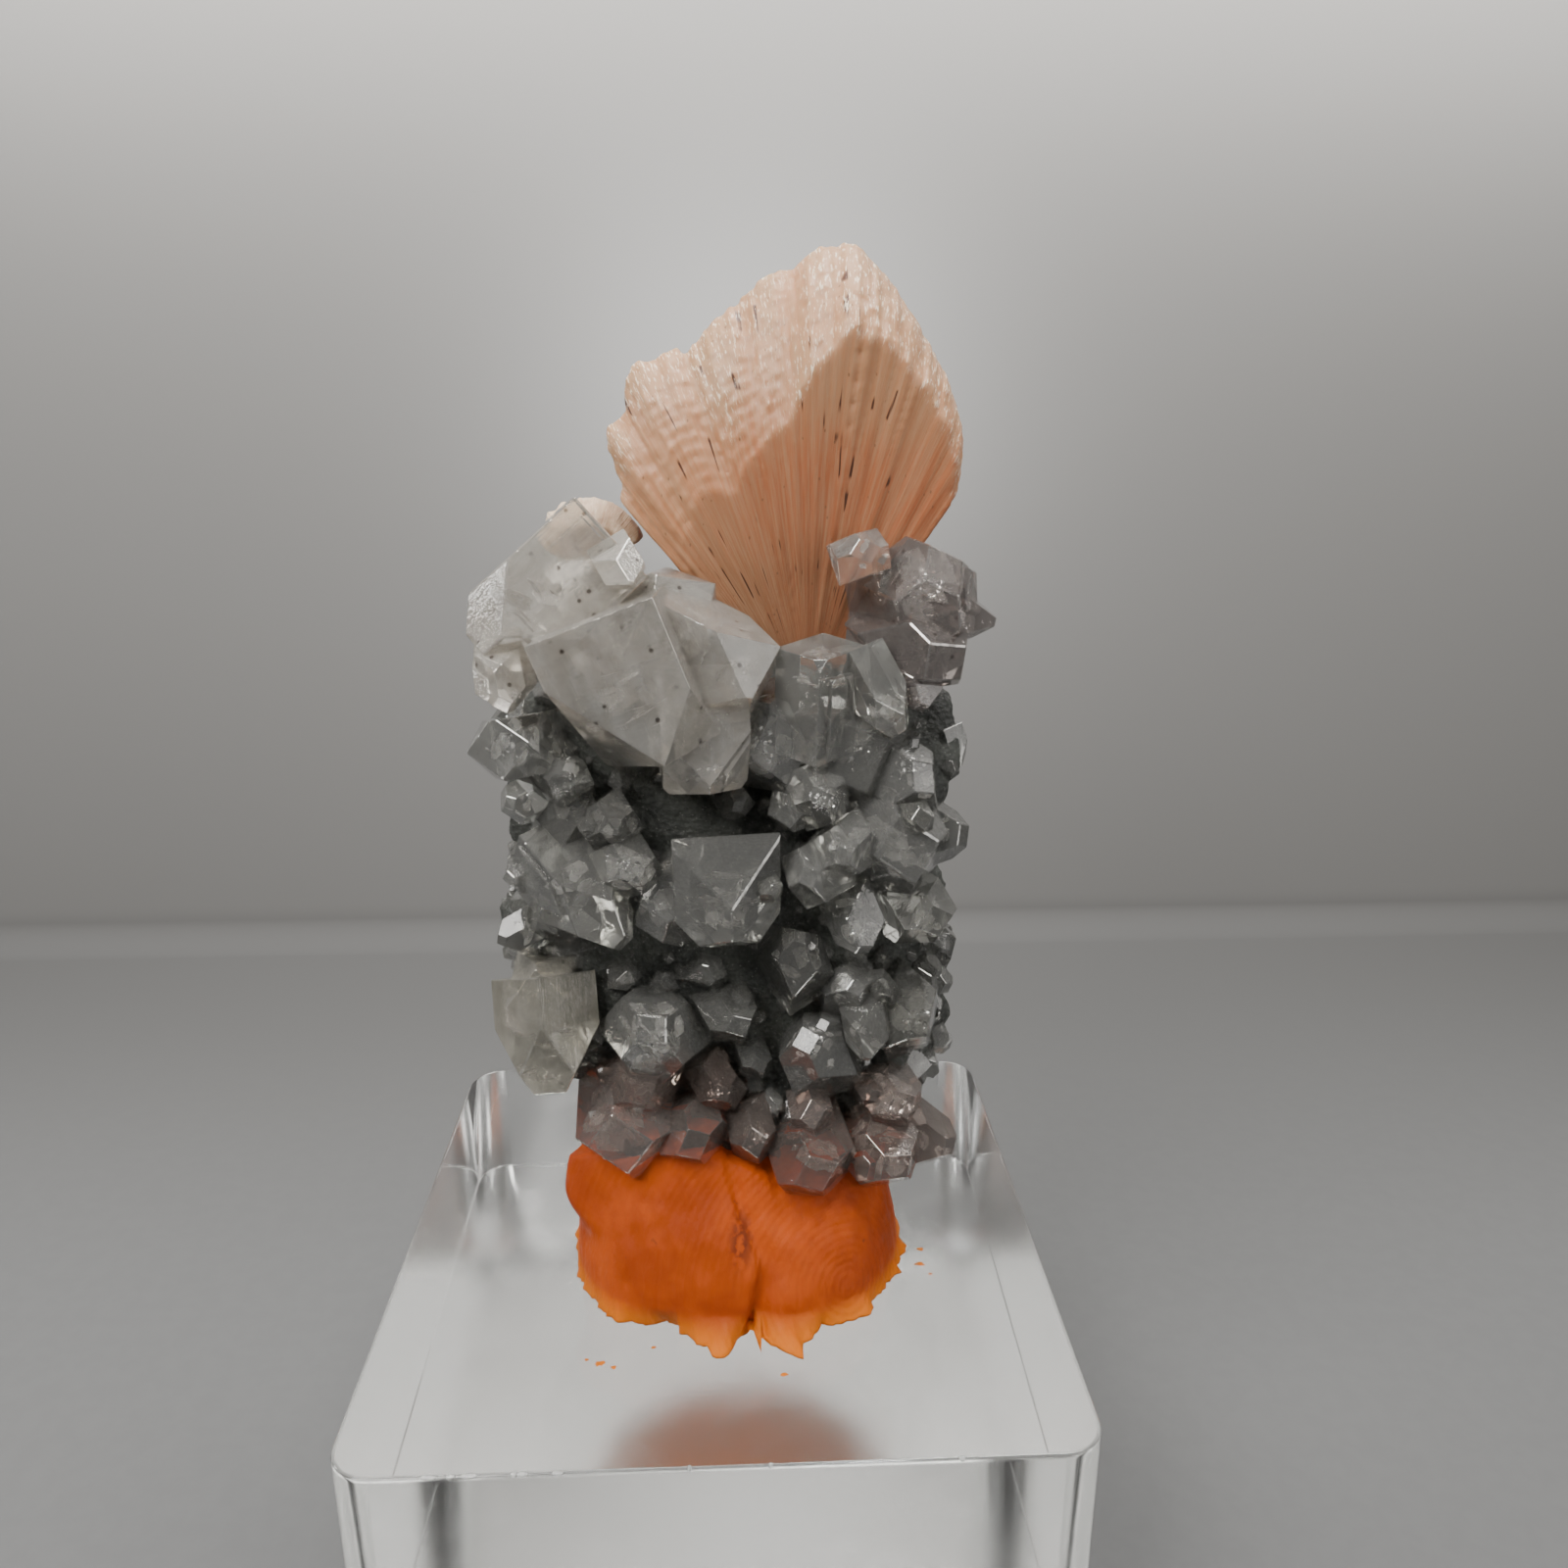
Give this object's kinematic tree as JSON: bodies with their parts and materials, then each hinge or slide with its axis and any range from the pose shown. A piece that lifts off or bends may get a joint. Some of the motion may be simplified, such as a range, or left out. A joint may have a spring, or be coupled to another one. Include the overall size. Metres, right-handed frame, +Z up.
{
  "type": "apophyllite and stilbite cluster on a display block",
  "caption": "Natural mineral specimen: glassy apophyllite crystals and a salmon stilbite fan on dark basalt, set with orange putty on a clear block that rests on a shelf.",
  "frame": {"origin": "centre of the block's underside, on the surface that it rests on", "axes": "+Z up, +X to the right along the block's front face, +Y away from the viewer"},
  "size_m": [0.0508, 0.0508, 0.101],
  "materials": {
    "acrylic": "clear, polished",
    "putty": "soft satin, pressed by hand",
    "basalt": "rough, broken",
    "stilbite": "fibrous, pearly",
    "stilbite_cream": "fibrous, pearly",
    "apophyllite_milky": "glassy, cloudy inside",
    "apophyllite_clear": "glassy, see-through",
    "apophyllite_smoky": "glassy, with dark inclusions",
    "apophyllite_pale": "glassy, cloudy, pale",
    "apophyllite_brownish": "glassy, brownish from the putty behind"
  },
  "bodies": {
    "root": {"acrylic_block": "acrylic", "mounting_putty": "putty", "basalt_matrix": "basalt", "stilbite_sheaf": "stilbite", "stilbite_knob": "stilbite_cream", "apophyllite_upper_left": "apophyllite_milky", "apophyllite_back_bank": "apophyllite_milky", "apophyllite_right_bank": "apophyllite_clear", "apophyllite_upper_right": "apophyllite_smoky", "apophyllite_sheaf_bud": "apophyllite_clear", "apophyllite_left_bank": "apophyllite_clear", "apophyllite_middle_band": "apophyllite_clear", "apophyllite_lower_left": "apophyllite_pale", "apophyllite_lower_band": "apophyllite_clear", "apophyllite_lower_centre": "apophyllite_clear", "apophyllite_foot_band": "apophyllite_brownish"}
  },
  "joints": []
}
